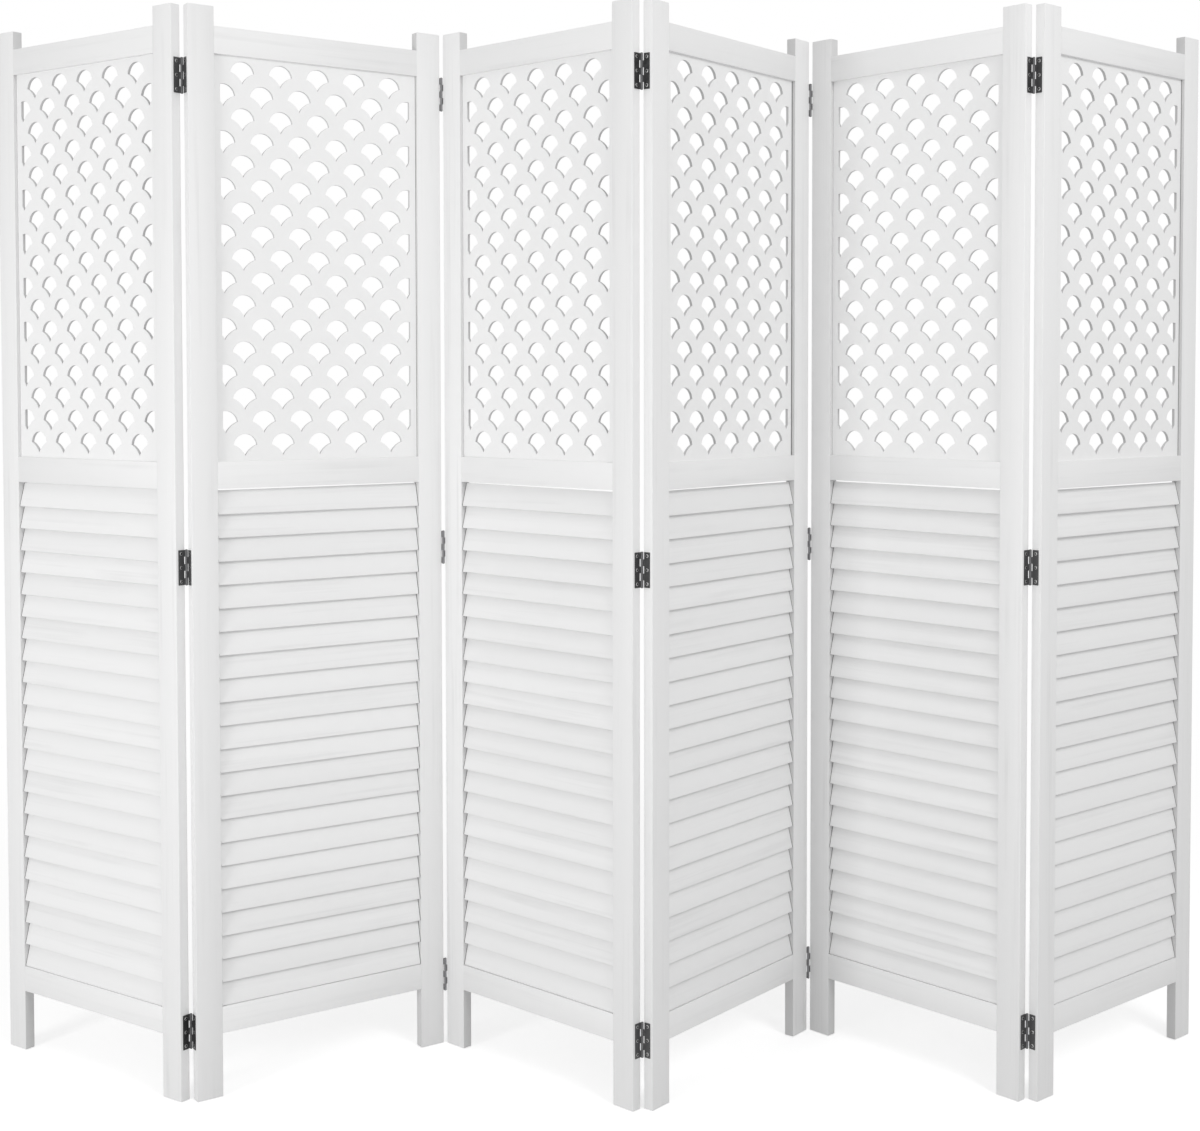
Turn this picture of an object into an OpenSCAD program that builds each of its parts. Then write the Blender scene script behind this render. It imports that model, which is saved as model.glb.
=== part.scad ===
// Six-panel folding screen: painted wooden frames with a pierced fish-scale board above and fixed
// louvre slats below, joined by butt hinges and standing in a zig-zag.
// Millimetres, +Z up, the front faces -Y, and the origin lies on the floor under the middle of the
// standing screen. Panels are counted from the left, and so are the joints between them.

/* [Panels] */
// Height of a panel from the floor to the top of its stiles
panel_h = 1700; // [1500:10:2000]
// Width of one panel over both stiles
panel_w = 431; // [340:1:620]
// Thickness of the frame
frame_t = 17; // [16:0.5:28]
// Width of a stile seen from the front
stile_w = 42; // [38:1:60]
// Height of each of the three rails
rail_h = 42; // [30:1:60]
// Height of the legs under the bottom rail
leg_h = 100; // [40:5:200]
// Height of the stile tops above the top rail
horn_h = 30; // [10:1:80]
// Height of the louvre field between the bottom and the middle rail
louvre_h = 814; // [400:2:900]
// Chamfer that eases the outer edges of the stiles
edge_ease = 0.8; // [0.2:0.1:2]

/* [Standing angles] */
// Direction of the first panel, turned about the vertical from the line of sight's left to right
first_heading = -34; // [-60:0.5:0]
// Angle between panels 1 and 2, 180 when they are in line
angle_12 = 110.5; // [60:0.5:175]
// Angle between panels 2 and 3
angle_23 = 103; // [60:0.5:175]
// Angle between panels 3 and 4
angle_34 = 86; // [60:0.5:175]
// Angle between panels 4 and 5
angle_45 = 82; // [60:0.5:175]
// Angle between panels 5 and 6
angle_56 = 92.5; // [60:0.5:175]

/* [Frame joinery] */
// Thickness of the rail tenons
tenon_t = 6; // [4:0.5:8]
// Length of a rail tenon inside its stile
tenon_l = 26; // [12:1:30]
// Height of the shoulder above and below a tenon
tenon_shoulder = 7; // [7:0.5:10]
// Clearance on every side of a tenon, a board edge or a slat end in its slot
fit = 0.1; // [0.05:0.05:0.3]

/* [Pierced board] */
// Thickness of the pierced board
board_t = 5; // [3:0.5:6]
// Depth of the board's edge in its grooves
board_tongue = 5.5; // [3:0.5:6.5]
// Distance between neighbouring holes of one row
scale_pitch = 62.9; // [50:0.1:70]
// Distance between one row of holes and the next
row_pitch = 36.25; // [34:0.05:45]
// Radius of the round top of a hole
scale_r = 19.5; // [14:0.1:20]
// Height of a hole from its round top to its lower point
scale_h = 34.3; // [24:0.1:38]
// Radius of the two hollow flanks that meet at the lower point
flank_r = 35.2; // [35.1:0.1:60]
// Plain strip that is left beside the stiles, where the outer holes are cut off straight
side_margin = 11.5; // [5:0.5:20]
// Plain strip between the top rail and the first row of holes
top_margin = 7.5; // [4:0.5:20]
// Least plain strip between the last row of holes and the middle rail
foot_margin = 6; // [4:0.5:20]

/* [Louvres] */
// Width of a slat across its face
slat_w = 38; // [30:0.5:44]
// Thickness of a slat
slat_t = 4.5; // [3:0.25:5]
// Lean of a slat from upright, its upper edge towards the back
slat_tilt = 14; // [8:0.5:16]
// Length of a slat end inside its slot in the stile
slat_end = 5; // [3:0.5:8]
// Least height by which a slat laps the one above it
slat_lap = 1; // [0.5:0.1:6]
// Open gap between the middle rail and the uppermost slat
slat_top_gap = 3; // [1:0.5:8]

/* [Hinges] */
// Distance of the pin axis outside the face of the frame
pin_out = 1.4; // [0.8:0.1:3]
// Height of the lowest hinge's middle above the floor
hinge_low = 108; // [60:1:300]
// Height of the second hinge's middle above the floor
hinge_mid = 835; // [400:5:1200]
// Distance of the highest hinge's middle below the top of the stiles
hinge_high = 108; // [60:1:300]
// How much higher all three hinges stand at the joints that point away from the viewer
hinge_step = 9.5; // [0:0.5:20]
// Length of a hinge along its pin
hinge_l = 54.5; // [50:0.5:76]
// Outer diameter of the knuckles
knuckle_d = 4.4; // [3.8:0.1:6.2]
// Clearance between the knuckles and each of two stiles that stand in line
knuckle_side_gap = 0.3; // [0.2:0.05:0.5]
// Gap between the knuckles of one leaf and the notches that clear them in the other
notch_gap = 0.9; // [0.4:0.1:2]
// Diameter of the hinge pin
pin_d = 2.4; // [2:0.1:2.4]
// Running clearance between the pin and a knuckle, on the radius
pin_clear = 0.05; // [0.03:0.01:0.1]
// Clearance between neighbouring knuckles along the pin
knuckle_gap = 0.3; // [0.2:0.05:0.6]
// Thickness of a hinge leaf
leaf_t = 0.9; // [0.8:0.1:1.2]
// Distance of a leaf's long free edge from the far face of the frame
leaf_inset = 4.5; // [0.5:0.1:6]
// Diameter of the chamfered head at each end of the pin
pin_head_d = 4; // [3.4:0.1:4.2]
// Height of a pin's head
pin_head_h = 0.8; // [0.4:0.1:1.5]

/* [Screws] */
// Diameter of a screw head
screw_head_d = 5.4; // [4:0.1:6.5]
// Diameter of a screw's shank
screw_d = 2.6; // [2:0.1:3]
// Length of a screw from its head's face to its point
screw_l = 12; // [8:0.5:16]
// Distance between the screws of one leaf
screw_pitch = 21.5; // [12:0.5:22]
// Width of an arm of the cross-shaped driver recess
recess_w = 0.7; // [0.4:0.1:1]
// Depth of the driver recess
recess_depth = 0.7; // [0.3:0.1:0.9]

/* [Hidden] */
$fn = 48;
PANELS = 6;
JOINTS = PANELS - 1;
KNUCKLES = 5;
SCREWS_PER_LEAF = 3;
PAINT = "white";
IRON = "dimgray";
STEEL = "silver";
eps = 0.01;
through = 1;

function node_name(k, part) = str("panel_", k, "_", part);

// Heights of the lower edges of the rails, and the two fields between them
bottom_rail_z = leg_h;
louvre_z = bottom_rail_z + rail_h;
mid_rail_z = louvre_z + louvre_h;
board_z = mid_rail_z + rail_h;
top_rail_z = panel_h - horn_h - rail_h;
board_h = top_rail_z - board_z;
field_w = panel_w - 2 * stile_w;

// Gap between the stiles of two panels that stand in line
joint_gap = knuckle_d + 2 * knuckle_side_gap;

// Standing plan. A joint with an odd number stands towards the viewer and has its pins at the back of
// the frames; an even one stands away and has them at the front.
standing = [angle_12, angle_23, angle_34, angle_45, angle_56];
function at_back(j) = j % 2 == 1;
function pin_side(j) = at_back(j) ? frame_t + pin_out : -pin_out;
function turned(v, a) = [v.x * cos(a) - v.y * sin(a), v.x * sin(a) + v.y * cos(a)];
function heading(k) = k == 1 ? first_heading
    : heading(k - 1) + (at_back(k - 1) ? 1 : -1) * (180 - standing[k - 2]);
function corner(k) = k == 1 ? [0, 0]
    : pin(k - 1) - turned([-joint_gap / 2, pin_side(k - 1)], heading(k));
function pin(j) = corner(j) + turned([panel_w + joint_gap / 2, pin_side(j)], heading(j));
plan = [for (k = [1:PANELS], x = [0, panel_w], y = [0, frame_t]) corner(k) + turned([x, y], heading(k))];
plan_x = [for (p = plan) p.x];
plan_y = [for (p = plan) p.y];
middle = [min(plan_x) + max(plan_x), min(plan_y) + max(plan_y)] / 2;

hinge_heights = [hinge_low, hinge_mid, panel_h - hinge_high];

// Slats stand in the middle of the frame's thickness. There are as many as it takes to lap, spread
// evenly over the field.
slat_rise = slat_w * cos(slat_tilt) + slat_t * sin(slat_tilt);
slat_depth = slat_w * sin(slat_tilt) + slat_t * cos(slat_tilt);
slat_setback = (frame_t - slat_depth) / 2;
slat_steps = ceil((louvre_h - fit - slat_top_gap - slat_rise) / (slat_rise - slat_lap));
slat_pitch = (louvre_h - fit - slat_top_gap - slat_rise) / slat_steps;

// Rows of holes in the pierced board, and how far they reach from its middle.
scale_rows = floor((board_h - top_margin - foot_margin - scale_h) / row_pitch) + 1;
scale_reach = field_w / 2 - side_margin;

// Puts a piece, drawn in a panel's own frame, where panel k stands. A panel's frame has its origin at
// the left front corner of its left stile, x along its width and y towards the back.
module on_panel(k) {
    place = corner(k) - middle;
    translate([place.x, place.y, 0]) rotate(heading(k)) children();
}

// A bar along Z whose section in plan is w by d, with its edges eased at both ends and at x = 0.
module eased_bar(w, d, h) {
    c = edge_ease;
    intersection() {
        linear_extrude(h) polygon([[c, 0], [w, 0], [w, d], [c, d], [0, d - c], [0, c]]);
        translate([w, 0, 0]) rotate([0, -90, 0]) linear_extrude(w)
            polygon([[c, 0], [h - c, 0], [h, c], [h, d - c], [h - c, d], [c, d], [0, d - c], [0, c]]);
        translate([0, d, 0]) rotate([90, 0, 0]) linear_extrude(d)
            polygon([[c, 0], [w - c, 0], [w, c], [w, h - c], [w - c, h], [c, h], [0, h - c], [0, c]]);
    }
}

// Section of a slat as y and z, its lowest point at z = 0, grown by g on every side.
module slat_section(g = 0) {
    translate([slat_setback, slat_t * sin(slat_tilt)]) rotate(90 - slat_tilt)
        translate([-g, -slat_t - g]) square([slat_w + 2 * g, slat_t + 2 * g]);
}

// One slat, or the cutter for its slot, from x0 to x1 across the panel.
module slat(i, x0, x1, g = 0) {
    translate([x0, 0, louvre_z + fit + i * slat_pitch])
        rotate([90, 0, 90]) linear_extrude(x1 - x0) slat_section(g);
}

// The left stile of a panel, outer edge at x = 0, with everything cut into its inner edge.
module stile_blank() {
    difference() {
        eased_bar(stile_w, frame_t, panel_h);
        for (z = [bottom_rail_z, mid_rail_z, top_rail_z])
            translate([stile_w - tenon_l - fit, (frame_t - tenon_t) / 2 - fit, z + tenon_shoulder - fit])
                cube([tenon_l + 2 * fit, tenon_t + 2 * fit, rail_h - 2 * tenon_shoulder + 2 * fit]);
        groove = board_tongue + fit;
        translate([stile_w - groove, (frame_t - board_t) / 2 - fit, board_z - groove])
            cube([groove + fit, board_t + 2 * fit, board_h + 2 * groove]);
        for (i = [0:slat_steps]) slat(i, stile_w - slat_end - fit, stile_w + fit, fit);
    }
}

// Mirrors a piece of the left edge of a panel onto its right edge.
module to_right_edge() {
    translate([panel_w, 0, 0]) mirror([1, 0, 0]) children();
}

// Places a piece at each hinge of joint j, on the edge of a panel that the joint is at. The piece is
// drawn with the stile's edge at x = 0, the pin axis on the positive y side and the hinge's middle at z = 0.
module at_hinges(j) {
    for (z = hinge_heights)
        translate([0, at_back(j) ? 0 : frame_t, at_back(j) ? z : z + hinge_step])
            mirror([0, at_back(j) ? 0 : 1, 0]) children();
}

// Height of each screw in a leaf, from the middle of the hinge.
function screw_heights() = [for (i = [0:SCREWS_PER_LEAF - 1]) (i - (SCREWS_PER_LEAF - 1) / 2) * screw_pitch];
// Where the notches of a leaf end that clear the other leaf's knuckles, and the middle of its plate.
notch_y = frame_t + pin_out - knuckle_d / 2 - notch_gap;
screw_y = (leaf_inset + notch_y) / 2;
head_h = (screw_head_d - screw_d) / 2;
recess_l = 0.6 * screw_head_d;
point_d = 0.4;

// A screw along +X from the face of its head at x = -leaf_t, or the cutter for its hole.
module screw_shape(g = 0) {
    point = screw_d;
    rotate([0, 90, 0]) {
        translate([0, 0, -leaf_t]) cylinder(h = head_h, d1 = screw_head_d + 2 * g, d2 = screw_d + 2 * g);
        translate([0, 0, -leaf_t]) cylinder(h = screw_l - point, d = screw_d + 2 * g);
        translate([0, 0, screw_l - point - leaf_t])
            cylinder(h = point + g, d1 = screw_d + 2 * g, d2 = point_d + 2 * g);
    }
}

module at_screws(j) {
    at_hinges(j) for (z = screw_heights()) translate([0, screw_y, z]) children();
}

module left_stile(k) {
    color(PAINT) on_panel(k) difference() {
        stile_blank();
        if (k > 1) at_screws(k - 1) screw_shape(fit);
    }
}

module right_stile(k) {
    color(PAINT) on_panel(k) to_right_edge() difference() {
        stile_blank();
        if (k < PANELS) at_screws(k) screw_shape(fit);
    }
}

// A rail between the stiles with its two tenons, and a board groove above or below if there is one.
module rail(k, z, groove_above = false, groove_below = false) {
    groove = board_tongue + fit;
    color(PAINT) on_panel(k) translate([stile_w, 0, z]) difference() {
        union() {
            cube([field_w, frame_t, rail_h]);
            translate([-tenon_l, (frame_t - tenon_t) / 2, tenon_shoulder])
                cube([field_w + 2 * tenon_l, tenon_t, rail_h - 2 * tenon_shoulder]);
        }
        for (above = [0, 1]) if (above == 1 ? groove_above : groove_below)
            translate([-eps, (frame_t - board_t) / 2 - fit, above * (rail_h - groove) - (1 - above) * eps])
                cube([field_w + 2 * eps, board_t + 2 * fit, groove + eps]);
    }
}

module top_rail(k) { rail(k, top_rail_z, groove_below = true); }

module mid_rail(k) { rail(k, mid_rail_z, groove_above = true); }

module bottom_rail(k) { rail(k, bottom_rail_z); }

// Outline of one hole: a round top, and two hollow flanks that meet at the lower point. Its origin is
// the middle of the round top's circle.
module scale_hole() {
    point_y = scale_r - scale_h;
    flank_x = scale_pitch / 2;
    flank_y = point_y - sqrt(pow(flank_r, 2) - pow(flank_x, 2));
    difference() {
        circle(scale_r, $fn = 72);
        for (side = [-1, 1]) translate([side * flank_x, flank_y]) circle(flank_r, $fn = 144);
    }
}

// All holes of a board, from the middle of the field's upper edge. Rows are staggered by half a pitch,
// and a hole that reaches into the side margin is cut off there.
module scale_field() {
    reach = floor(scale_reach / scale_pitch) + 1;
    intersection() {
        translate([-scale_reach, -board_h]) square([2 * scale_reach, board_h]);
        for (row = [0:scale_rows - 1], i = [-reach:reach]) {
            x = (i + (row % 2) / 2) * scale_pitch;
            if (abs(x) <= scale_reach)
                translate([x, -top_margin - scale_r - row * row_pitch]) scale_hole();
        }
    }
}

module pierced_board(k) {
    w = field_w + 2 * board_tongue;
    h = board_h + 2 * board_tongue;
    color(PAINT) on_panel(k) translate([panel_w / 2, (frame_t + board_t) / 2, top_rail_z])
        rotate([90, 0, 0]) linear_extrude(board_t) difference() {
            translate([-w / 2, board_tongue - h]) square([w, h]);
            scale_field();
        }
}

module louvres(k) {
    color(PAINT) on_panel(k) for (i = [0:slat_steps])
        slat(i, stile_w - slat_end, panel_w - stile_w + slat_end);
}

// Height of one knuckle and the foot of each, counted from the bottom of the hinge.
knuckle_l = (hinge_l - (KNUCKLES - 1) * knuckle_gap) / KNUCKLES;
function knuckle_z(i) = -hinge_l / 2 + i * (knuckle_l + knuckle_gap);

// A leaf on a stile's outer edge, with every second knuckle from the one with this number. At each of
// its knuckles the plate runs on, along the side of the knuckle, to the level of the pin.
module hinge_leaf(first) {
    axis = [-joint_gap / 2, frame_t + pin_out];
    difference() {
        union() {
            translate([-leaf_t, leaf_inset, -hinge_l / 2]) cube([leaf_t, notch_y - leaf_inset, hinge_l]);
            for (i = [first:2:KNUCKLES - 1]) translate([0, 0, knuckle_z(i)]) {
                translate([-leaf_t, leaf_inset, 0]) cube([leaf_t, axis.y - leaf_inset, knuckle_l]);
                translate([axis.x, axis.y, 0]) cylinder(h = knuckle_l, d = knuckle_d);
            }
        }
        translate([axis.x, axis.y, -hinge_l / 2 - through])
            cylinder(h = hinge_l + 2 * through, d = pin_d + 2 * pin_clear);
        for (z = screw_heights()) translate([0, screw_y, z]) screw_shape(fit);
    }
}

// The two-knuckle leaves of the joint on the panel's left, and the three-knuckle leaves on its right.
module hinge_leaves(k) {
    color(IRON) on_panel(k) {
        if (k > 1) at_hinges(k - 1) hinge_leaf(1);
        if (k < PANELS) to_right_edge() at_hinges(k) hinge_leaf(0);
    }
}

module screw() {
    difference() {
        screw_shape();
        for (turn = [0, 90]) translate([-leaf_t, 0, 0]) rotate([turn, 0, 0])
            translate([-eps, -recess_w / 2, -recess_l / 2]) cube([recess_depth + eps, recess_w, recess_l]);
    }
}

module hinge_screws(k) {
    color(STEEL) on_panel(k) {
        if (k > 1) at_screws(k - 1) screw();
        if (k < PANELS) to_right_edge() at_screws(k) screw();
    }
}

// The three pins of joint j. They ride with the three-knuckle leaves of the panel on the left.
module hinge_pins(j) {
    color(IRON) on_panel(j) to_right_edge() at_hinges(j)
        translate([-joint_gap / 2, frame_t + pin_out, -hinge_l / 2 - pin_head_h])
            rotate_extrude() polygon(pin_profile());
}

// Half section of a pin with a chamfered head at each end, as radius and height.
function pin_profile() =
    let (r = pin_d / 2, head_r = pin_head_d / 2, head = pin_head_h, top = hinge_l + 2 * head, c = head / 2)
    [[0, 0], [head_r - c, 0], [head_r, c], [head_r, head], [r, head],
     [r, top - head], [head_r, top - head], [head_r, top - c], [head_r - c, top], [0, top]];

for (k = [1:PANELS]) {
    left_stile(k);
    right_stile(k);
    top_rail(k);
    mid_rail(k);
    bottom_rail(k);
    pierced_board(k);
    louvres(k);
    hinge_leaves(k);
    hinge_screws(k);
}
for (j = [1:JOINTS]) {
    hinge_pins(j);
}
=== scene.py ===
from math import ceil, cos, hypot, pi, radians, sin, sqrt

import bmesh
import bpy
import numpy as np
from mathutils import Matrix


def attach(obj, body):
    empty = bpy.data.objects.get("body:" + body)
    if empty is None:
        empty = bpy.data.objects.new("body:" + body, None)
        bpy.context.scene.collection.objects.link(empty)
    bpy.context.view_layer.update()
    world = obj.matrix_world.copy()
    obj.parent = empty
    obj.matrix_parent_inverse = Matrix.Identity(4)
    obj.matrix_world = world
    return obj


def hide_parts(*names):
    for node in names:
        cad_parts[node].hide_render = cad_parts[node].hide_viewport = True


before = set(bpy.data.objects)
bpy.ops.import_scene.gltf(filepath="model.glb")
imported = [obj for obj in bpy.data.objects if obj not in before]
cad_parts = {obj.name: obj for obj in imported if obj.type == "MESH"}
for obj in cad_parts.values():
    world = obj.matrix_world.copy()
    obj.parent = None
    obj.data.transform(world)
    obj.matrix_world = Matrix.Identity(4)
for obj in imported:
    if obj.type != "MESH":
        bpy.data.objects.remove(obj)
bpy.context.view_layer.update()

# The studio
# The screen stands on a white floor that runs out into a white surround. Two large soft boxes light
# it, one level with its middle on the left and one higher up on the right, so each side of the
# zig-zag has its own light and the inner corners fall off softly.
scene = bpy.context.scene
scene.view_settings.view_transform = "Standard"


def linear(code):
    """sRGB hex code to linear red, green, blue and alpha."""
    s = [int(code[i:i + 2], 16) / 255 for i in (1, 3, 5)]
    return (*(c / 12.92 if c <= 0.04045 else ((c + 0.055) / 1.055) ** 2.4 for c in s), 1.0)


def add(tree, kind, settings=None, inputs=None):
    """Adds a shader node. A value given for a socket is a constant, or another node's output to link."""
    node = tree.nodes.new("ShaderNode" + kind)
    for name, value in (settings or {}).items():
        setattr(node, name, value)
    for socket, value in (inputs or {}).items():
        if isinstance(value, bpy.types.NodeSocket):
            tree.links.new(value, node.inputs[socket])
        else:
            node.inputs[socket].default_value = value
    return node


def new_material(name):
    """An empty node material with its output, as (material, tree, output node)."""
    material = bpy.data.materials.new(name)
    material.use_nodes = True
    material.node_tree.nodes.clear()
    return material, material.node_tree, add(material.node_tree, "OutputMaterial")


def seen_directly(tree):
    """1 for rays from the camera and for those that reflections and clear surfaces send on, else 0."""
    ray = add(tree, "LightPath").outputs
    shiny = add(tree, "Math", {"operation": "MAXIMUM"},
                {0: ray["Is Glossy Ray"], 1: ray["Is Transmission Ray"]}).outputs[0]
    return add(tree, "Math", {"operation": "MAXIMUM"}, {0: ray["Is Camera Ray"], 1: shiny}).outputs[0]


# In pixels of the photograph: its size, the focal length, and the point that the camera's axis meets.
# The camera looks down by a few degrees.
PHOTO_W, PHOTO_H, FOCAL_LENGTH, AXIS_X, AXIS_Y = 1200, 1131, 1756.12, 676, 445
DEGREES_DOWN = 2.0
camera_data = bpy.data.cameras.new("camera")
camera = bpy.data.objects.new("camera", camera_data)
scene.collection.objects.link(camera)
scene.camera = camera
camera.location = (0.1223, -2.8416, 1.1194)
camera.rotation_euler = (radians(90 - DEGREES_DOWN), 0, 0)
camera_data.sensor_width = 36
camera_data.lens = FOCAL_LENGTH * camera_data.sensor_width / PHOTO_W
camera_data.shift_x = (PHOTO_W / 2 - AXIS_X) / PHOTO_W
camera_data.shift_y = (AXIS_Y - PHOTO_H / 2) / PHOTO_W
camera_data.clip_start, camera_data.clip_end = 0.05, 60

# The surround shows as pure white, and lights the screen with this share of it.
SURROUND_LIGHT = 0.64
surround = bpy.data.worlds.new("white_surround")
scene.world = surround
surround.use_nodes = True
tree = surround.node_tree
tree.nodes.clear()
fill = add(tree, "Background", inputs={"Color": linear("#FFFFFF"), "Strength": SURROUND_LIGHT})
white = add(tree, "Background", inputs={"Color": linear("#FFFFFF"), "Strength": 1.0})
both = add(tree, "MixShader", inputs={0: seen_directly(tree), 1: fill.outputs[0], 2: white.outputs[0]})
add(tree, "OutputWorld", inputs={"Surface": both.outputs[0]})

# The floor is a disc, a hair below the feet, that fades to pure white between two distances.
FLOOR_RADIUS, FLOOR_SIDES, FLOOR_DROP, FADE_FROM, FADE_TO = 14.0, 96, 0.0004, 1.3, 3.2
bearing = np.linspace(0, 2 * pi, FLOOR_SIDES, endpoint=False)
floor_rim = np.stack([FLOOR_RADIUS * np.cos(bearing), FLOOR_RADIUS * np.sin(bearing),
                      np.full(FLOOR_SIDES, -FLOOR_DROP)], 1)
floor_mesh = bpy.data.meshes.new("floor")
floor_mesh.from_pydata(floor_rim.tolist(), [], [list(range(FLOOR_SIDES))])
floor = bpy.data.objects.new("floor", floor_mesh)
scene.collection.objects.link(floor)

# Matt white floor paint: a flat white that takes soft shadows at the feet, lifted so that it meets the
# surround without an edge. The light that it sends back to the screen is a plain pale grey's.
FLOOR_LIFT = 0.45
material, tree, output = new_material("matt_white_studio_floor")
place = add(tree, "TexCoord").outputs["Object"]
reach = add(tree, "VectorMath", {"operation": "LENGTH"}, {0: place}).outputs["Value"]
far = add(tree, "MapRange", {"interpolation_type": "SMOOTHSTEP"},
          {"Value": reach, "From Min": FADE_FROM, "From Max": FADE_TO}).outputs["Result"]
lit = add(tree, "BsdfDiffuse", inputs={"Color": linear("#E4E4E4")})
lift = add(tree, "Emission", inputs={"Color": linear("#FFFFFF"), "Strength": FLOOR_LIFT})
near_floor = add(tree, "AddShader", inputs={0: lit.outputs[0], 1: lift.outputs[0]})
pure = add(tree, "Emission", inputs={"Color": linear("#FFFFFF"), "Strength": 1.0})
shown = add(tree, "MixShader", inputs={0: far, 1: near_floor.outputs[0], 2: pure.outputs[0]})
plain = add(tree, "BsdfDiffuse", inputs={"Color": linear("#D8D8D8")})
whole = add(tree, "MixShader", inputs={0: seen_directly(tree), 1: plain.outputs[0], 2: shown.outputs[0]})
tree.links.new(whole.outputs[0], output.inputs["Surface"])
floor_mesh.materials.append(material)

SCREEN_MIDDLE = (0, 0, 0.9)


def soft_box(name, place, width, height, watts):
    """A rectangular soft box at a place, facing the middle of the screen."""
    lamp = bpy.data.lights.new(name, "AREA")
    lamp.shape, lamp.size, lamp.size_y, lamp.energy = "RECTANGLE", width, height, watts
    box = bpy.data.objects.new(name, lamp)
    scene.collection.objects.link(box)
    box.location = place
    box.rotation_mode = "QUATERNION"
    away = box.location - type(box.location)(SCREEN_MIDDLE)
    box.rotation_quaternion = away.to_track_quat("Z", "Y")


soft_box("soft_box_left", (-2.36, -2.45, 0.9), width=0.8, height=1.2, watts=30)
soft_box("soft_box_right", (2.09, -2.68, 2.8), width=1.1, height=1.4, watts=37.5)

# Frames: stiles and rails
# Each panel is a frame of two stiles and three rails, planed from light softwood, joined with mortise
# and tenon, and sprayed with white satin paint after glueing up. The paint is thin enough for the
# grain to show faintly as shallow streaks along each bar. The stiles' inner faces are greyer: painted
# shade, for the shade that falls in the corners of the fields.
PANELS = range(1, 7)
PANEL_W, FRAME_T, STILE_W, RAIL_H, PANEL_H = 0.431, 0.017, 0.042, 0.042, 1.700
BOTTOM_RAIL_Z, MID_RAIL_Z, TOP_RAIL_Z = 0.100, 0.956, 1.628
FIELD_W = PANEL_W - 2 * STILE_W
# Rounding of the frame's outer edges, of those towards the fields, and of the rails' glued ends.
ARRIS, INNER_ARRIS, RAIL_END_ARRIS = 0.0009, 0.0004, 0.00005
# How each panel stands turned, in degrees, the gap that two panels in line leave between them, and how
# far the middle of a pin stands out from the frames' faces.
HEADINGS = {1: -34.0, 2: 35.5, 3: -41.5, 4: 52.5, 5: -45.5, 6: 42.0}
JOINTS, JOINT_GAP, PIN_OUT = range(1, 6), 0.005, 0.0014
rng = np.random.default_rng(17)


def about_z(angle):
    """The matrix that turns rows of (x, y, z) about the vertical by an angle in radians."""
    c, s = cos(angle), sin(angle)
    return np.array([[c, s, 0], [-s, c, 0], [0, 0, 1]])


def pins_at_back(j):
    """True for joints with an odd number: they point at the viewer and have their pins at the back."""
    return j % 2 == 1


def standing_plan():
    """Each panel's left front corner on the floor. From panel 1 on, panels j and j + 1 both reach the
    pins of joint j, half the gap beyond their edges. The middle of the whole plan is the origin."""
    turns = {k: about_z(radians(heading)) for k, heading in HEADINGS.items()}
    corners = {1: np.zeros(3)}
    for j in JOINTS:
        depth = FRAME_T + PIN_OUT if pins_at_back(j) else -PIN_OUT
        pin = corners[j] + (PANEL_W + JOINT_GAP / 2, depth, 0) @ turns[j]
        corners[j + 1] = pin - (-JOINT_GAP / 2, depth, 0) @ turns[j + 1]
    edges = [corners[k] + (x, y, 0) @ turns[k]
             for k in PANELS for x in (0, PANEL_W) for y in (0, FRAME_T)]
    middle = (np.min(edges, 0) + np.max(edges, 0)) / 2
    return {k: corner - middle for k, corner in corners.items()}


stands_at = standing_plan()


def on_panel(points, k):
    """Points in a panel's own frame, x along its width, y to the back and z up, put where panel k
    stands."""
    return points @ about_z(radians(HEADINGS[k])) + stands_at[k]


def rounded_section(w, d, radii, steps=4):
    """Closed outline of a w by d rectangle whose corners, from (0, 0) round to (0, d), are quarter
    circles of the four radii, each in so many steps."""
    corners = [(0, 0, 180), (w, 0, 270), (w, d, 0), (0, d, 90)]
    centres = [(radii[0], radii[0]), (w - radii[1], radii[1]), (w - radii[2], d - radii[2]),
               (radii[3], d - radii[3])]
    a = np.radians([start + np.linspace(0, 90, steps) for _, _, start in corners])
    r = np.array(radii)[:, None]
    c = np.array(centres)
    return np.stack([c[:, :1] + r * np.cos(a), c[:, 1:] + r * np.sin(a)], 2).reshape(-1, 2)


def bar(section, length, end_radius, rings=3):
    """A bar along +z: the section is carried from 0 to length, and drawn in by a quarter circle of
    end_radius at both ends. Returns its points, faces, and grain coordinates along, across and deep."""
    q = np.linspace(0, pi / 2, rings)
    inset = end_radius * (1 - np.sin(q))
    z = end_radius * (1 - np.cos(q))
    z = np.concatenate([z, length - z[::-1]])
    inset = np.concatenate([inset, inset[::-1]])
    middle = (section.min(0) + section.max(0)) / 2
    half = (section.max(0) - section.min(0)) / 2
    pull = 1 - inset[:, None] / half
    xy = middle + (section - middle)[None] * pull[:, None]
    points = np.concatenate([xy, np.broadcast_to(z[:, None, None], (*xy.shape[:2], 1))], 2)
    n, m = len(section), len(z)
    i, j = np.meshgrid(np.arange(n), np.arange(m - 1))
    ring = [j * n + i, j * n + (i + 1) % n, (j + 1) * n + (i + 1) % n, (j + 1) * n + i]
    faces = np.stack(ring, 2).reshape(-1, 4).tolist()
    faces += [list(range(n))[::-1], list(range((m - 1) * n, m * n))]
    points = points.reshape(-1, 3)
    return points, faces, points[:, [2, 0, 1]]


def own_grain(grain, spread=3.0):
    """Grain coordinates moved to a place of their own in the timber, so that no two pieces match."""
    return grain + rng.uniform(-spread, spread, 3)


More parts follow.
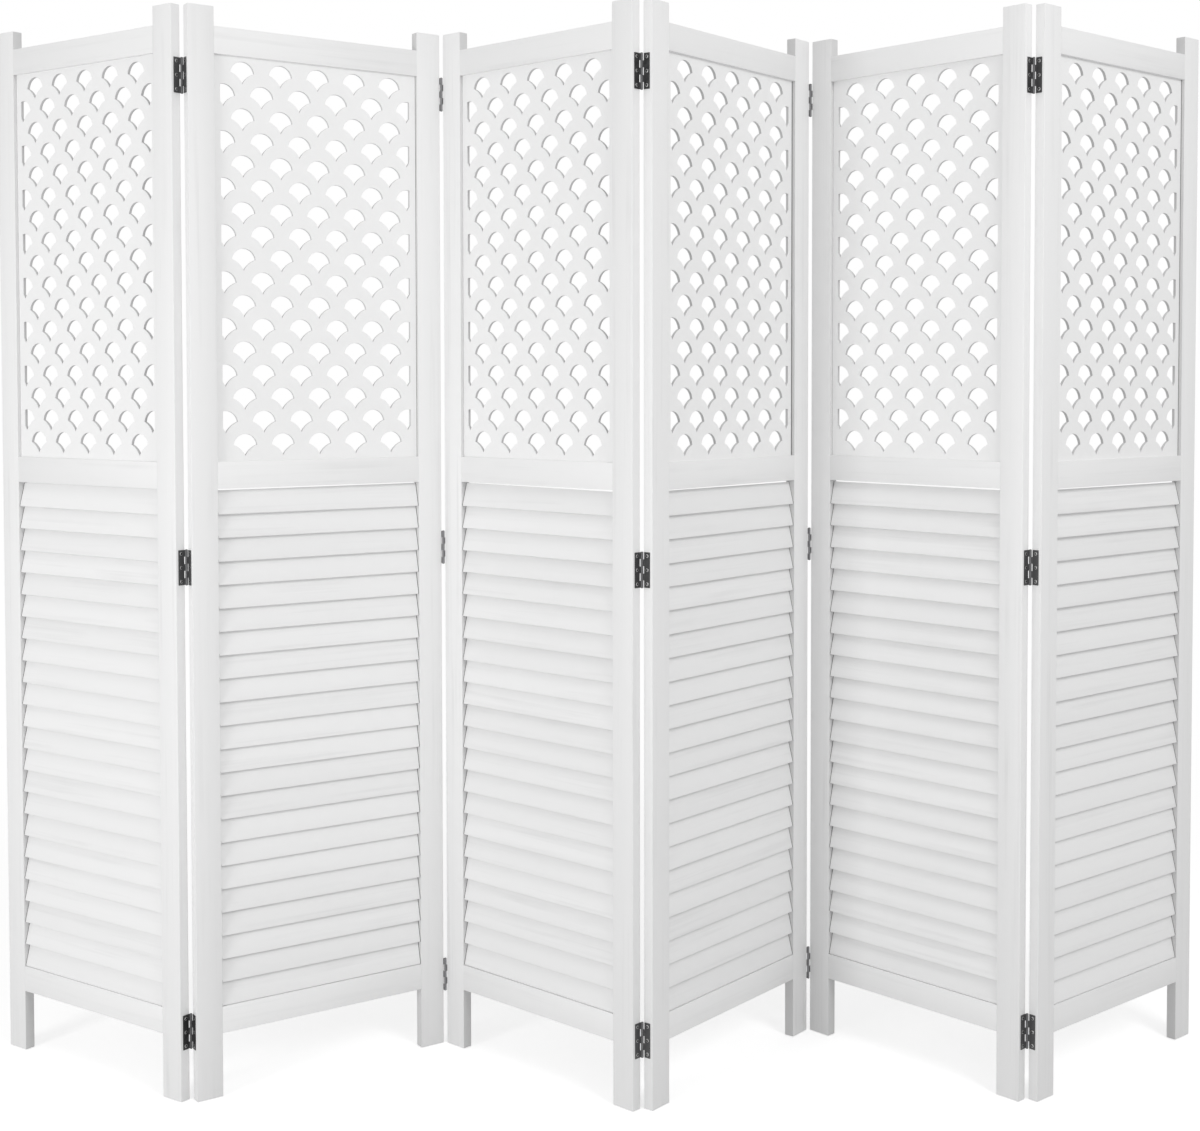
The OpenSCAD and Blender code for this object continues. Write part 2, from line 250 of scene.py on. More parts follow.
def make_piece(name, parts, k, material, sharp=40):
    """One object of several closed shells, each (points, faces, grain), standing on panel k. The grain
    coordinates are kept in an attribute, and each shell has a tone between 0 and 1 of its own."""
    counts = np.cumsum([0] + [len(p) for p, _, _ in parts])
    points = on_panel(np.concatenate([p for p, _, _ in parts]), k)
    faces = [[v + start for v in face] for (_, fs, _), start in zip(parts, counts) for face in fs]
    mesh = bpy.data.meshes.new(name)
    mesh.from_pydata(points.tolist(), [], faces)
    grain = mesh.attributes.new("grain", "FLOAT_VECTOR", "POINT")
    grain.data.foreach_set("vector", np.concatenate([g for _, _, g in parts]).astype(np.float32).ravel())
    tone = mesh.attributes.new("tone", "FLOAT", "POINT")
    tones = np.repeat(rng.uniform(0, 1, len(parts)), np.diff(counts))
    tone.data.foreach_set("value", tones.astype(np.float32))
    mesh.polygons.foreach_set("use_smooth", np.ones(len(faces), bool))
    mesh.set_sharp_from_angle(angle=radians(sharp))
    mesh.materials.append(material)
    piece = bpy.data.objects.new(name, mesh)
    scene.collection.objects.link(piece)
    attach(piece, f"panel_{k}")
    return piece


def keep(piece, name, values):
    """Keeps a value for each vertex of a piece in an attribute, for its material to read."""
    attribute = piece.data.attributes.new(name, "FLOAT", "POINT")
    attribute.data.foreach_set("value", np.asarray(values, np.float32))


# How far the dark line painted as shade in a gap fades in.
GAP_SHADE_FADE = 0.0002


def painted_gap_shade(tree, paint):
    """The paint's colour with a dark line painted as shade in the gap where a slat or a board enters
    the stile: as wide as the value that the piece keeps for it, measured from the end of the open field,
    and fading in over a hair's breadth."""
    across = add(tree, "Attribute", {"attribute_name": "across"}).outputs["Fac"]
    gap_shade = add(tree, "Attribute", {"attribute_name": "gap_shade"}).outputs["Fac"]
    away = add(tree, "Math", {"operation": "ABSOLUTE"}, {0: across}).outputs[0]
    reach = add(tree, "Math", {"operation": "ADD"}, {0: away, 1: gap_shade}).outputs[0]
    inner = add(tree, "MapRange", inputs={
        "Value": reach, "From Min": FIELD_W / 2, "From Max": FIELD_W / 2 + GAP_SHADE_FADE}).outputs[0]
    return add(tree, "Mix", {"data_type": "RGBA"},
               {"Factor": inner, "A": paint, "B": linear("#3C3C3C")}).outputs["Result"]


def painted_softwood():
    """White satin paint on planed softwood: near-white with barely darker streaks where the grain
    lies under the film, a soft sheen, and a relief of shallow grain lines and fine paint texture. The
    stiles' inner faces are greyer, as painted shade for the corners of the fields, and a dark line is
    painted as shade in the gap where a slat enters a stile."""
    material, tree, output = new_material("white_satin_paint_on_softwood")
    grain = add(tree, "Attribute", {"attribute_name": "grain"}).outputs["Vector"]
    tone = add(tree, "Attribute", {"attribute_name": "tone"}).outputs["Fac"]

    def streaks(along, across, detail, rough):
        # noise drawn out along the grain: features are 1/along by 1/across metres
        spread = add(tree, "Mapping", inputs={"Vector": grain, "Scale": (along, across, across)})
        return add(tree, "TexNoise", inputs={"Vector": spread.outputs[0], "Scale": 1.0, "Detail": detail,
                                             "Roughness": rough}).outputs["Fac"]

    # Growth rings 11 mm apart, fibres of 1.4 mm (real ones are finer than the render shows), blotches
    # of 60 by 140 mm where the paint lies thinner, and the paint's own texture of 2.4 mm.
    rings = streaks(2.2, 90, 3, 0.55)
    fibres = streaks(9, 700, 2, 0.6)
    blotch = streaks(7, 16, 2, 0.5)
    paint = streaks(420, 420, 2, 0.5)
    shade = add(tree, "MapRange", inputs={"Value": rings, "From Min": 0.52, "From Max": 0.78}).outputs[0]
    patch = add(tree, "MapRange", inputs={"Value": blotch, "From Min": 0.35, "From Max": 0.7}).outputs[0]
    thin = add(tree, "Math", {"operation": "MULTIPLY"}, {0: shade, 1: patch}).outputs[0]
    own = add(tree, "Mix", {"data_type": "RGBA"},
              {"Factor": tone, "A": linear("#EDEDED"), "B": linear("#F1F1F1")}).outputs["Result"]
    open_grain = add(tree, "Mix", {"data_type": "RGBA"},
                     {"Factor": thin, "A": own, "B": linear("#E2E2E2")}).outputs["Result"]
    # painted shade: the stiles' inner faces are made greyer, for the shade that falls in the fields'
    # corners
    inside = add(tree, "Attribute", {"attribute_name": "inside"}).outputs["Fac"]
    coat = add(tree, "Mix", {"data_type": "RGBA"},
               {"Factor": inside, "A": open_grain, "B": linear("#D9D9D9")}).outputs["Result"]
    # a dark line painted as shade in the gap where a slat enters a stile
    colour = painted_gap_shade(tree, coat)
    height = add(tree, "Math", {"operation": "MULTIPLY_ADD"}, {0: fibres, 1: 0.5, 2: rings}).outputs[0]
    height = add(tree, "Math", {"operation": "MULTIPLY_ADD"}, {0: paint, 1: 0.35, 2: height}).outputs[0]
    relief = add(tree, "Bump", inputs={"Height": height, "Strength": 0.35, "Distance": 0.00022})
    sheen = add(tree, "MapRange", inputs={"Value": paint, "To Min": 0.42, "To Max": 0.56}).outputs[0]
    surface = add(tree, "BsdfPrincipled", inputs={
        "Base Color": colour, "Roughness": sheen, "IOR": 1.46, "Normal": relief.outputs[0]})
    tree.links.new(surface.outputs[0], output.inputs["Surface"])
    return material


softwood = painted_softwood()
# Where each stile stands on the panel, the rounding of its four edges, and which side of it is the inner.
STILES = {"left": (0, (ARRIS, INNER_ARRIS, INNER_ARRIS, ARRIS), STILE_W),
          "right": (PANEL_W - STILE_W, (INNER_ARRIS, ARRIS, ARRIS, INNER_ARRIS), 0)}
RAILS = {"bottom": BOTTOM_RAIL_Z, "mid": MID_RAIL_Z, "top": TOP_RAIL_Z}
rail_section = rounded_section(FRAME_T, RAIL_H, (INNER_ARRIS,) * 4)
for k in PANELS:
    for side, (x, radii, inner_x) in STILES.items():
        points, faces, grain = bar(rounded_section(STILE_W, FRAME_T, radii), PANEL_H, ARRIS)
        stile = make_piece(f"panel_{k}_{side}_stile_painted",
                           [(points + (x, 0, 0), faces, own_grain(grain))], k, softwood)
        # 1 on the stile's inner face, which its paint greys as painted shade
        keep(stile, "inside", np.isclose(points[:, 0], inner_x, atol=1e-6))
        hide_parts(f"panel_{k}_{side}_stile")
    for level, z in RAILS.items():
        # the section lies in depth and height, and is carried from the left stile to the right one
        points, faces, grain = bar(rail_section, FIELD_W, RAIL_END_ARRIS)
        points = points[:, [2, 0, 1]] + (STILE_W, 0, z)
        rail = make_piece(f"panel_{k}_{level}_rail_painted", [(points, faces, own_grain(grain))],
                          k, softwood)
        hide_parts(f"panel_{k}_{level}_rail")

# Louvre slats
# Thin planed slats with softened edges, fixed in slanting slots in the stiles, their upper edges to
# the back, each lapping the next by a millimetre. Hand fitting leaves small differences, and each top
# slat is left wider, to fill the space under the middle rail down to a slit of light.
SLATS, SLAT_W, SLAT_T, SLAT_TILT, SLAT_END, SLAT_GAP_SHADE = 22, 0.038, 0.0045, 14.0, 0.005, 0.0010
LOUVRE_Z, LOUVRE_H, SLAT_TOP_GAP, SLOT_FIT = 0.142, 0.814, 0.003, 0.0001
SLAT_ARRIS, SLAT_END_ARRIS = 0.0008, 0.0001
# How far the slats differ: in lean and in twist from end to end, in degrees, and in level.
LEAN_SPREAD, TWIST_SPREAD, LEVEL_SPREAD = 0.35, 0.3, 0.00018
# What the top slat of each panel has over the others, at its left and right end.
TOP_SLAT_EXTRA = {1: (0.0020, 0.0027), 2: (0.0003, 0.0009), 3: (0.0013, -0.0004),
                  4: (0.0012, 0), 5: (0.0003, -0.0003), 6: (0.0009, 0)}
tilt = radians(SLAT_TILT)
slat_rise = SLAT_W * cos(tilt) + SLAT_T * sin(tilt)
slat_pitch = (LOUVRE_H - SLOT_FIT - SLAT_TOP_GAP - slat_rise) / (SLATS - 1)
slat_section = rounded_section(SLAT_T, SLAT_W, (SLAT_ARRIS,) * 4, 3)
for k in PANELS:
    parts = []
    for i in range(SLATS):
        points, faces, grain = bar(slat_section, FIELD_W + 2 * SLAT_END, SLAT_END_ARRIS, 2)
        # the section's first axis is the slat's thickness and its second its width, carried along x
        thick, wide, along = points[:, 0] - SLAT_T / 2, points[:, 1] - SLAT_W / 2, points[:, 2]
        if i == SLATS - 1:
            wide = wide + (wide > 0) * np.interp(along, (0, FIELD_W), TOP_SLAT_EXTRA[k])
        lean = tilt + radians(rng.normal(0, LEAN_SPREAD))
        twist = lean + radians(rng.normal(0, TWIST_SPREAD)) * (along / FIELD_W - 0.5)
        y = FRAME_T / 2 + thick * np.cos(twist) + wide * np.sin(twist)
        z = (LOUVRE_Z + SLOT_FIT + slat_rise / 2 + i * slat_pitch + rng.normal(0, LEVEL_SPREAD)
             - thick * np.sin(twist) + wide * np.cos(twist))
        parts.append((np.stack([along + STILE_W - SLAT_END, y, z], 1), faces, own_grain(grain)))
    slats = make_piece(f"panel_{k}_louvre_slats", parts, k, softwood)
    keep(slats, "across", np.concatenate([p[:, 0] for p, _, _ in parts]) - PANEL_W / 2)
    # how wide the dark line painted as shade in the gap at each slat's ends is
    keep(slats, "gap_shade", np.full(len(slats.data.vertices), SLAT_GAP_SHADE))
    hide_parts(f"panel_{k}_louvres")

# Pierced boards
# Thin board without grain, held in grooves and routed with staggered rows of fish-scale holes, each a
# round top and two hollow flanks that meet in a point, cut off straight at a plain border. It has the
# frame's paint, a shade whiter on its faces as painted light for the light that its set-back place
# misses, and greyer on the walls of the holes as painted shade.
BOARD_T, BOARD_TONGUE, BOARD_H = 0.005, 0.0055, 0.630
SCALE_PITCH, ROW_PITCH, SCALE_R, SCALE_H, FLANK_R = 0.0629, 0.03625, 0.0195, 0.0343, 0.0352
SIDE_MARGIN, TOP_MARGIN, SCALE_ROWS, HOLE_EASE = 0.0115, 0.0075, 17, 0.0003
# How wide the dark line painted as shade in the gap beside each board is.
BOARD_GAP_SHADE = {1: 0.0003, 2: 0.0007, 3: 0.0003, 4: 0.0019, 5: 0.0004, 6: 0.0013}
scale_reach = FIELD_W / 2 - SIDE_MARGIN


def scale_outline():
    """The hole's outline: the arc of the scale circle that lies above both flank circles, then the two
    flank arcs down to the point and up again. The flank circles stand half a pitch to either side."""
    tip = SCALE_R - SCALE_H
    fx = SCALE_PITCH / 2
    fy = tip - sqrt(FLANK_R ** 2 - fx ** 2)
    # where the circles cross, measured from the scale circle's middle towards the flank circle's
    apart = hypot(fx, fy)
    along = (apart ** 2 + SCALE_R ** 2 - FLANK_R ** 2) / (2 * apart)
    off = sqrt(SCALE_R ** 2 - along ** 2)
    meet_x, meet_y = (fx * along - fy * off) / apart, (fy * along + fx * off) / apart
    start = np.arctan2(meet_y, meet_x)
    a = np.linspace(start, pi - start, 40)
    top = np.stack([SCALE_R * np.cos(a), SCALE_R * np.sin(a)], 1)
    b = np.linspace(np.arctan2(meet_y - fy, meet_x - fx), np.arctan2(tip - fy, -fx), 10)[1:]
    right = np.stack([fx + FLANK_R * np.cos(b), fy + FLANK_R * np.sin(b)], 1)
    left = right[:-1][::-1] * (-1, 1)
    # from the right crossing over the top to the left one, down the left flank and up the right one
    return np.concatenate([top, left[::-1], right[::-1]])


def board_outlines():
    """Every hole from the middle of the board's upper edge, clamped at the plain border."""
    hole = scale_outline()
    columns = ceil(scale_reach / SCALE_PITCH)
    for row in range(SCALE_ROWS):
        for i in range(-columns, columns + 1):
            x = (i + (row % 2) / 2) * SCALE_PITCH
            if abs(x) <= scale_reach:
                moved = hole + (x, -TOP_MARGIN - SCALE_R - row * ROW_PITCH)
                yield np.stack([np.clip(moved[:, 0], -scale_reach, scale_reach), moved[:, 1]], 1)


def flat_shape(name, outlines, thickness, ease):
    """Points and faces of a flat plate with holes, its edges eased by a small chamfer. The outlines lie
    in x and y, the first is the rim, and the plate is centred on z = 0."""
    curve = bpy.data.curves.new(name, "CURVE")
    curve.dimensions, curve.fill_mode = "2D", "BOTH"
    curve.extrude, curve.bevel_depth, curve.bevel_resolution = thickness / 2 - ease, ease, 0
    curve.offset = -ease
    for outline in outlines:
        line = curve.splines.new("POLY")
        line.points.add(len(outline) - 1)
        line.points.foreach_set("co", np.pad(outline, ((0, 0), (0, 2)), constant_values=0).ravel())
        line.use_cyclic_u = True
    drawn = bpy.data.objects.new(name, curve)
    scene.collection.objects.link(drawn)
    bpy.context.view_layer.update()
    mesh = bpy.data.meshes.new_from_object(drawn.evaluated_get(bpy.context.evaluated_depsgraph_get()))
    bm = bmesh.new()
    bm.from_mesh(mesh)
    bmesh.ops.remove_doubles(bm, verts=bm.verts, dist=1e-6)
    bmesh.ops.recalc_face_normals(bm, faces=bm.faces)
    bm.verts.index_update()
    points = np.array([v.co[:] for v in bm.verts])
    faces = [[v.index for v in f.verts] for f in bm.faces]
    bm.free()
    bpy.data.objects.remove(drawn)
    bpy.data.curves.remove(curve)
    bpy.data.meshes.remove(mesh)
    return points, faces


def painted_board():
    """White satin paint on smooth board: a shade whiter than on the frame, as painted light for the light
    that the set-back board misses, with a faint even spray texture of 2 mm, a drift of tone over 110 mm,
    and a painted shade on the walls of the holes, greyer, which draws each hole's outline. A dark line is
    painted as shade in the gap where the board enters the stiles."""
    material, tree, output = new_material("white_satin_paint_on_board")
    grain = add(tree, "Attribute", {"attribute_name": "grain"}).outputs["Vector"]
    inside = add(tree, "Attribute", {"attribute_name": "inside"}).outputs["Fac"]
    spray = add(tree, "TexNoise", inputs={"Vector": grain, "Scale": 520.0, "Detail": 2.0}).outputs["Fac"]
    drift = add(tree, "TexNoise", inputs={"Vector": grain, "Scale": 9.0, "Detail": 2.0}).outputs["Fac"]
    # painted light: the faces are a shade whiter than the frame's paint, for the light that the set-back
    # board misses
    face = add(tree, "Mix", {"data_type": "RGBA"},
               {"Factor": drift, "A": linear("#F0F0F0"), "B": linear("#F4F4F4")}).outputs["Result"]
    # painted shade: the walls of the holes are made greyer
    coat = add(tree, "Mix", {"data_type": "RGBA"},
               {"Factor": inside, "A": face, "B": linear("#D5D5D5")}).outputs["Result"]
    # a dark line painted as shade in the gap where the board enters a stile
    colour = painted_gap_shade(tree, coat)
    relief = add(tree, "Bump", inputs={"Height": spray, "Strength": 0.25, "Distance": 0.0001})
    sheen = add(tree, "MapRange", inputs={"Value": spray, "To Min": 0.42, "To Max": 0.54}).outputs[0]
    surface = add(tree, "BsdfPrincipled", inputs={
        "Base Color": colour, "Roughness": sheen, "IOR": 1.46, "Normal": relief.outputs[0]})
    tree.links.new(surface.outputs[0], output.inputs["Surface"])
    return material


board_paint = painted_board()
half_w = FIELD_W / 2 + BOARD_TONGUE
board_rim = np.array([(-half_w, BOARD_TONGUE), (-half_w, -BOARD_H - BOARD_TONGUE),
                      (half_w, -BOARD_H - BOARD_TONGUE), (half_w, BOARD_TONGUE)])
plate, plate_faces = flat_shape("pierced_board", [board_rim, *(o[::-1] for o in board_outlines())],
                                BOARD_T, HOLE_EASE)
plate = np.stack([plate[:, 0] + PANEL_W / 2, FRAME_T / 2 - plate[:, 2], plate[:, 1] + TOP_RAIL_Z], 1)
# 1 on the walls of the holes, which the material greys as painted shade, falling to 0 over the eased edge
inside = 1 - np.clip((np.abs(plate[:, 1] - FRAME_T / 2) - BOARD_T / 2 + HOLE_EASE) / HOLE_EASE, 0, 1)
for k in PANELS:
    board = make_piece(f"panel_{k}_pierced_board_painted", [(plate, plate_faces, own_grain(plate))],
                       k, board_paint)
    keep(board, "inside", inside)
    keep(board, "across", plate[:, 0] - PANEL_W / 2)
    keep(board, "gap_shade", np.full(len(plate), BOARD_GAP_SHADE[k]))
    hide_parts(f"panel_{k}_pierced_board")

# Hinges
# Butt hinges 54.5 mm long, three to a joint. Each leaf is stamped from 0.9 mm steel sheet, its knuckles
# are curled round the pin, and it is coated in satin charcoal and screwed to a stile's edge. At the
# joints that point away from the viewer the hinges stand a little higher.
HINGE_HEIGHTS, HINGE_STEP = (0.108, 0.835, 1.592), 0.0095
HINGE_L, KNUCKLES, KNUCKLE_GAP, KNUCKLE_D, NOTCH_GAP = 0.0545, 5, 0.0003, 0.0044, 0.0009
LEAF_T, LEAF_INSET, LEAF_CORNER, LEAF_EASE = 0.0009, 0.0045, 0.0008, 0.0001
SCREW_PITCH, SCREW_HEAD_D, SCREW_HOLE_FIT = 0.0215, 0.0054, 0.00006
PIN_AXIS = np.array((-JOINT_GAP / 2, FRAME_T + PIN_OUT))
knuckle_l = (HINGE_L - (KNUCKLES - 1) * KNUCKLE_GAP) / KNUCKLES
notch_y = FRAME_T + PIN_OUT - KNUCKLE_D / 2 - NOTCH_GAP
screw_y = (LEAF_INSET + notch_y) / 2


def hinge_heights(j):
    """Heights of the middles of the three hinges of joint j."""
    return [z + (0 if pins_at_back(j) else HINGE_STEP) for z in HINGE_HEIGHTS]


def carried(outline, z0, z1, ease=0.0002):
    """A closed outline in x and y carried from z0 to z1, with a small chamfer at both ends."""
    after, before = np.roll(outline, -1, 0), np.roll(outline, 1, 0)
    along = after - before
    inward = np.stack([-along[:, 1], along[:, 0]], 1) / np.hypot(*along.T)[:, None]
    rings = [(outline + inward * ease, z0), (outline, z0 + ease), (outline, z1 - ease),
             (outline + inward * ease, z1)]
    points = np.concatenate([np.pad(xy, ((0, 0), (0, 1)), constant_values=z) for xy, z in rings])
    n = len(outline)
    i, j = np.meshgrid(np.arange(n), np.arange(3))
    faces = np.stack([j * n + i, j * n + (i + 1) % n, (j + 1) * n + (i + 1) % n, (j + 1) * n + i], 2)
    return points, faces.reshape(-1, 4).tolist() + [list(range(n))[::-1], list(range(3 * n, 4 * n))]


def curl():
    """Outline of one knuckle: a strip a leaf thick that goes on from the plate, sways a little towards
    the pin and goes five sixths of the way round it. It is the strip's middle line moved half a
    thickness to either side."""
    radius = (KNUCKLE_D - LEAF_T) / 2
    s = np.linspace(0, 1, 7)[:-1]
    sway = s * s * (3 - 2 * s)
    from_x, to_x = -LEAF_T / 2, PIN_AXIS[0] + radius
    rise = np.stack([from_x + (to_x - from_x) * sway, notch_y + (PIN_AXIS[1] - notch_y) * s], 1)
    a = np.radians(np.linspace(0, 300, 31))
    loop = PIN_AXIS + radius * np.stack([np.cos(a), np.sin(a)], 1)
    line = np.concatenate([rise, loop])
    along = np.gradient(line, axis=0)
    side = np.stack([along[:, 1], -along[:, 0]], 1) / np.hypot(*along.T)[:, None] * LEAF_T / 2
    return np.concatenate([line + side, (line - side)[::-1]])


def at_joint(points, faces, j, right_edge):
    """A shell drawn on a left edge, pin to the back, moved to the edge of a panel that joint j is at."""
    out = points.copy()
    if not pins_at_back(j):
        out[:, 1] = FRAME_T - out[:, 1]
    if right_edge:
        out[:, 0] = PANEL_W - out[:, 0]
    # one mirroring turns the faces inside out, and a second turns them back
    mirrored_once = right_edge == pins_at_back(j)
    return out, [f[::-1] for f in faces] if mirrored_once else faces


def round_hole(y, z, radius, steps=24):
    """A circle, drawn clockwise, as a hole's outline."""
    a = -np.linspace(0, 2 * pi, steps, endpoint=False)
    return np.stack([y + radius * np.cos(a), z + radius * np.sin(a)], 1)


def coated_steel():
    """Satin charcoal coating on steel: a dark film with a broad soft highlight and an uneven skin of
    0.8 mm, a shade lighter in places of 5 mm where it lies thinner, from hinge to hinge too, and a
    painted highlight of dull grey on the knuckles, most on their outer side."""
    material, tree, output = new_material("charcoal_coated_steel")
    place = add(tree, "TexCoord").outputs["Object"]
    own = add(tree, "Attribute", {"attribute_name": "grain"}).outputs["Vector"]
    reach = add(tree, "SeparateXYZ", inputs={0: own}).outputs["Y"]
    skin = add(tree, "TexNoise", inputs={"Vector": place, "Scale": 1300.0, "Detail": 3.0}).outputs["Fac"]
    film = add(tree, "TexNoise", inputs={"Vector": place, "Scale": 210.0, "Detail": 2.0}).outputs["Fac"]
    lot = add(tree, "TexNoise", inputs={"Vector": place, "Scale": 2.6, "Detail": 0.0}).outputs["Fac"]
    thin = add(tree, "MapRange", inputs={"Value": film, "From Min": 0.4, "From Max": 0.7}).outputs[0]
    pale = add(tree, "MapRange", inputs={"Value": lot, "From Min": 0.45, "From Max": 0.65}).outputs[0]
    # painted highlight: the knuckles are made a dull grey, most towards their outer side
    knuckle_highlight = add(tree, "MapRange", inputs={
        "Value": reach, "From Min": PIN_AXIS[1] - KNUCKLE_D,
        "From Max": PIN_AXIS[1] + 0.4 * KNUCKLE_D}).outputs[0]
    film_colour = add(tree, "Mix", {"data_type": "RGBA"},
                      {"Factor": thin, "A": linear("#1F1F20"), "B": linear("#353536")}).outputs["Result"]
    lot_colour = add(tree, "Mix", {"data_type": "RGBA"},
                     {"Factor": pale, "A": film_colour, "B": linear("#474748")}).outputs["Result"]
    colour = add(tree, "Mix", {"data_type": "RGBA"},
                 {"Factor": knuckle_highlight, "A": lot_colour, "B": linear("#7C7C7E")}).outputs["Result"]
    sheen = add(tree, "MapRange", inputs={"Value": skin, "To Min": 0.3, "To Max": 0.46}).outputs[0]
    relief = add(tree, "Bump", inputs={"Height": skin, "Strength": 0.3, "Distance": 0.00006})
    surface = add(tree, "BsdfPrincipled", inputs={
        "Base Color": colour, "Roughness": sheen, "IOR": 1.5, "Normal": relief.outputs[0]})
    tree.links.new(surface.outputs[0], output.inputs["Surface"])
    return material


hinge_coat = coated_steel()
# The leaf's plate is rounded at the two corners of its free edge, and its knuckles go on from the other.
quarter = np.radians(np.linspace(0, 90, 5))
corner = np.stack([LEAF_INSET + LEAF_CORNER - LEAF_CORNER * np.cos(quarter),
                   -HINGE_L / 2 + LEAF_CORNER - LEAF_CORNER * np.sin(quarter)], 1)
leaf_rim = np.concatenate([corner, [(notch_y, -HINGE_L / 2), (notch_y, HINGE_L / 2)],
                           (corner * (1, -1))[::-1]])
screw_levels = [(i - 1) * SCREW_PITCH for i in range(3)]
screw_holes = [round_hole(screw_y, z, SCREW_HEAD_D / 2 + SCREW_HOLE_FIT) for z in screw_levels]
leaf, leaf_faces = flat_shape("leaf_plate", [leaf_rim, *screw_holes], LEAF_T, LEAF_EASE)
leaf = leaf[:, [2, 0, 1]] - (LEAF_T / 2, 0, 0)
for k in PANELS:
    parts = []
    for j, right_edge, first in ((k - 1, False, 1), (k, True, 0)):
        if j not in JOINTS:
            continue
        for level in hinge_heights(j):
            shells = [(leaf, leaf_faces)]
            for i in range(first, KNUCKLES, 2):
                z0 = -HINGE_L / 2 + i * (knuckle_l + KNUCKLE_GAP)
                shells.append(carried(curl(), z0, z0 + knuckle_l))
            for points, faces in shells:
                placed, faces = at_joint(points + (0, 0, level), faces, j, right_edge)
                parts.append((placed, faces, points))
    leaves = make_piece(f"panel_{k}_hinge_leaves_folded", parts, k, hinge_coat)
    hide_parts(f"panel_{k}_hinge_leaves")

# Hinge pins
# Steel pins of 2.4 mm, coated like the leaves. Each holds the knuckles of its two leaves together and
# is headed at both ends by peening.
PIN_D, PIN_HEAD_D, PIN_HEAD_H = 0.0024, 0.004, 0.0008


def turned(rings, steps, star=None):
    """A turned shape: rings of (radius, height, share of star), joined from the first pole to the last.
    With a star, a ring's radius follows the star's radius round the turn by that share."""
    a = np.linspace(0, 2 * pi, steps, endpoint=False)
    shape = []
    for radius, height, share in rings[1:-1]:
        r = radius if star is None else radius * (1 - share) + share * star(a) * radius
        shape.append(np.stack([r * np.cos(a), r * np.sin(a), np.full(steps, height)], 1))
    points = np.concatenate([[(0, 0, rings[0][1])], *shape, [(0, 0, rings[-1][1])]])
    m = len(rings) - 2
    i, j = np.meshgrid(np.arange(steps), np.arange(m - 1))
    on = (i + 1) % steps
    faces = (np.stack([j * steps + i, j * steps + on, (j + 1) * steps + on, (j + 1) * steps + i], 2)
             .reshape(-1, 4) + 1).tolist()
    last = len(points) - 1
    faces += [[0, (i + 1) % steps + 1, i + 1] for i in range(steps)]
    faces += [[last, last - steps + i, last - steps + (i + 1) % steps] for i in range(steps)]
    return points, faces


top = HINGE_L / 2
# the upper half of a pin: its shaft, and a head that is rounded over to a small flat
upper = [(PIN_D / 2, top), (PIN_HEAD_D / 2, top), (PIN_HEAD_D / 2, top + PIN_HEAD_H / 4),
         (0.0017, top + 0.75 * PIN_HEAD_H), (0.0011, top + PIN_HEAD_H), (0, top + PIN_HEAD_H)]
pin_rings = [(r, -z, 0) for r, z in upper[::-1]] + [(r, z, 0) for r, z in upper]
pin, pin_faces = turned(pin_rings, 24)
for j in JOINTS:
    parts = []
    for level in hinge_heights(j):
        points, faces = at_joint(pin + (*PIN_AXIS, level), pin_faces, j, True)
        parts.append((points, faces, pin + (*PIN_AXIS, 0)))
    pins = make_piece(f"panel_{j}_hinge_pins_headed", parts, j, hinge_coat)
    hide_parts(f"panel_{j}_hinge_pins")

# Screws
# Countersunk steel screws with a cross recess, three to a leaf, blackened like the hinges, with the rim
# of each head rubbed back to bare metal. Each stands turned as the driver left it.
SCREW_D, SCREW_L, CROSS_ARM, RECESS_DEPTH, RIM_FROM, RIM_TO = 0.0026, 0.012, 0.3, 0.0013, 0.0016, 0.0018


def cross(a):
    """Radius of a cross of four arms, 1 at their ends: an arm's half width over the sine of the turn
    from its middle line."""
    off = np.abs((a + pi / 4) % (pi / 2) - pi / 4)
    return np.minimum(1, CROSS_ARM / np.maximum(np.sin(off), 1e-6))


head, shank = SCREW_HEAD_D / 2, SCREW_D / 2
# from the bottom of the recess up its sloping walls, over the slightly raised head, down to the point
screw_rings = [(0, RECESS_DEPTH, 0), (0.0005, RECESS_DEPTH - 0.0001, 1), (0.0015, 0.0001, 1),
               (0.0016, -0.00006, 1), (0.0021, -0.00008, 0), (head - 0.00012, -0.00002, 0),
               (head, 0.00008, 0), (shank, head - shank, 0), (shank, SCREW_L - SCREW_D, 0),
               (0.0002, SCREW_L, 0), (0, SCREW_L, 0)]
screw, screw_faces = turned(screw_rings, 24, cross)


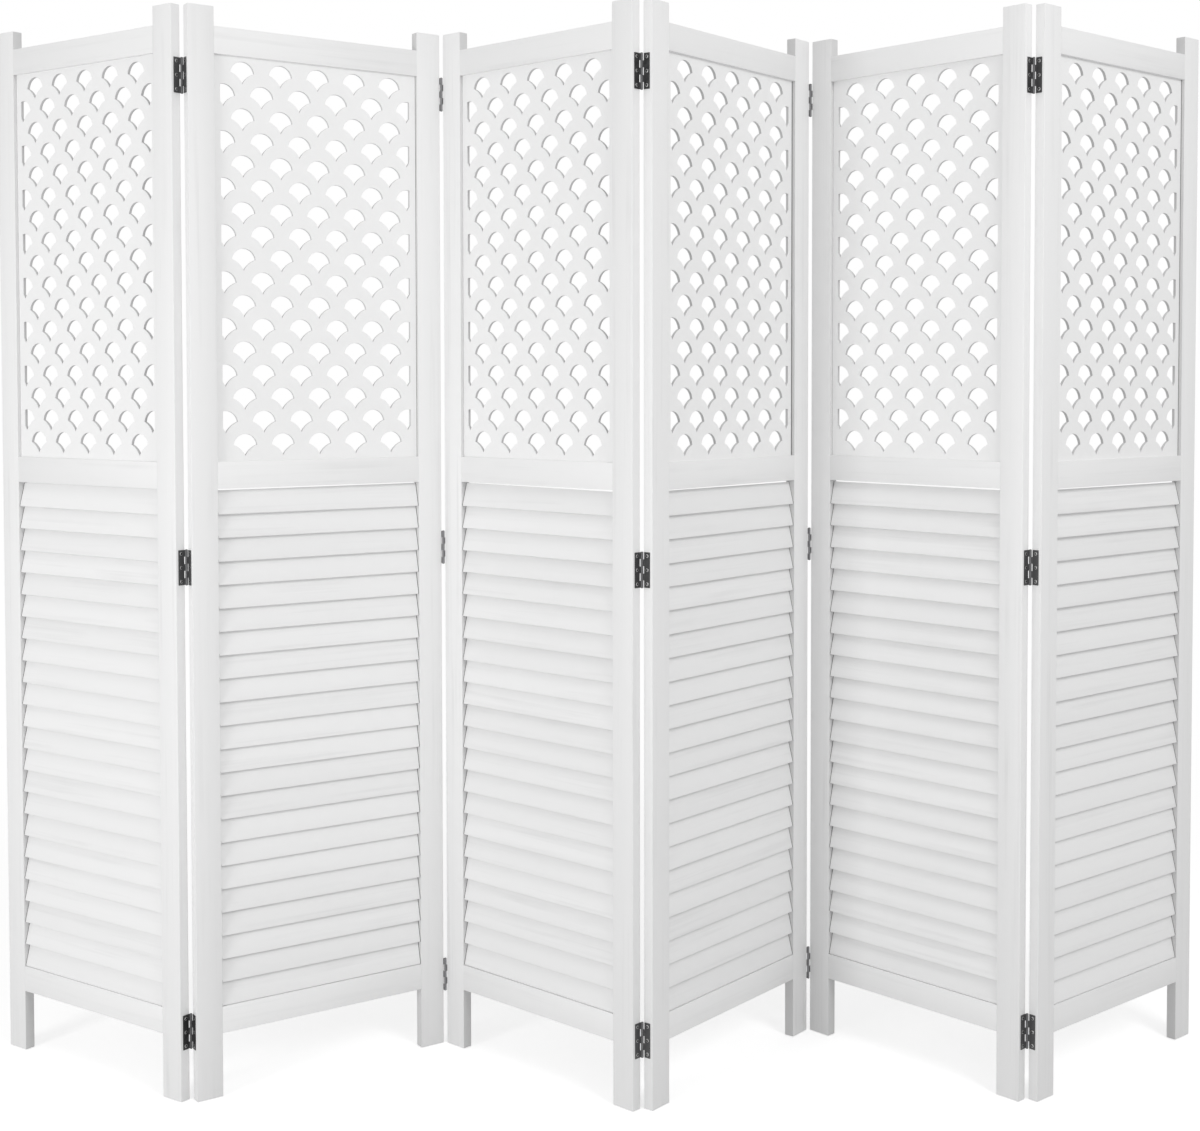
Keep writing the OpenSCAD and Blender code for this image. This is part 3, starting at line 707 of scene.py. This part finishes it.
def blackened_steel():
    """Blackened steel screw: nearly black in the recess and on the middle of the head, and a ring of
    bare, softly shining metal round its rim, a little tarnished in spots of 0.7 mm."""
    material, tree, output = new_material("blackened_steel_with_bare_rim")
    place = add(tree, "TexCoord").outputs["Object"]
    own = add(tree, "Attribute", {"attribute_name": "grain"}).outputs["Vector"]
    sideways = add(tree, "VectorMath", {"operation": "MULTIPLY"}, {0: own, 1: (1, 1, 0)}).outputs[0]
    reach = add(tree, "VectorMath", {"operation": "LENGTH"}, {0: sideways}).outputs["Value"]
    bare = add(tree, "MapRange", inputs={
        "Value": reach, "From Min": RIM_FROM, "From Max": RIM_TO}).outputs[0]
    spot = add(tree, "TexNoise", inputs={"Vector": place, "Scale": 1500.0, "Detail": 2.0}).outputs["Fac"]
    tarnish = add(tree, "MapRange", inputs={"Value": spot, "From Min": 0.4, "From Max": 0.7}).outputs[0]
    metal = add(tree, "Mix", {"data_type": "RGBA"},
                {"Factor": tarnish, "A": linear("#C2C2C2"), "B": linear("#9C9C9C")}).outputs["Result"]
    colour = add(tree, "Mix", {"data_type": "RGBA"},
                 {"Factor": bare, "A": linear("#1A1A1A"), "B": metal}).outputs["Result"]
    sheen = add(tree, "MapRange", inputs={"Value": tarnish, "To Min": 0.34, "To Max": 0.55}).outputs[0]
    surface = add(tree, "BsdfPrincipled", inputs={
        "Base Color": colour, "Roughness": sheen, "Metallic": 1.0})
    tree.links.new(surface.outputs[0], output.inputs["Surface"])
    return material


steel = blackened_steel()
for k in PANELS:
    parts = []
    for j, right_edge in ((k - 1, False), (k, True)):
        if j not in JOINTS:
            continue
        for level in hinge_heights(j):
            for step in screw_levels:
                # the screw's axis turns from +z to +x, with its head's face a leaf's thickness out
                spun = screw @ about_z(rng.uniform(0, pi / 2))
                points = spun[:, [2, 0, 1]] + (-LEAF_T, screw_y, level + step)
                points, faces = at_joint(points, screw_faces, j, right_edge)
                parts.append((points, faces, screw))
    screws = make_piece(f"panel_{k}_hinge_screws_cross_head", parts, k, steel)
    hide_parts(f"panel_{k}_hinge_screws")
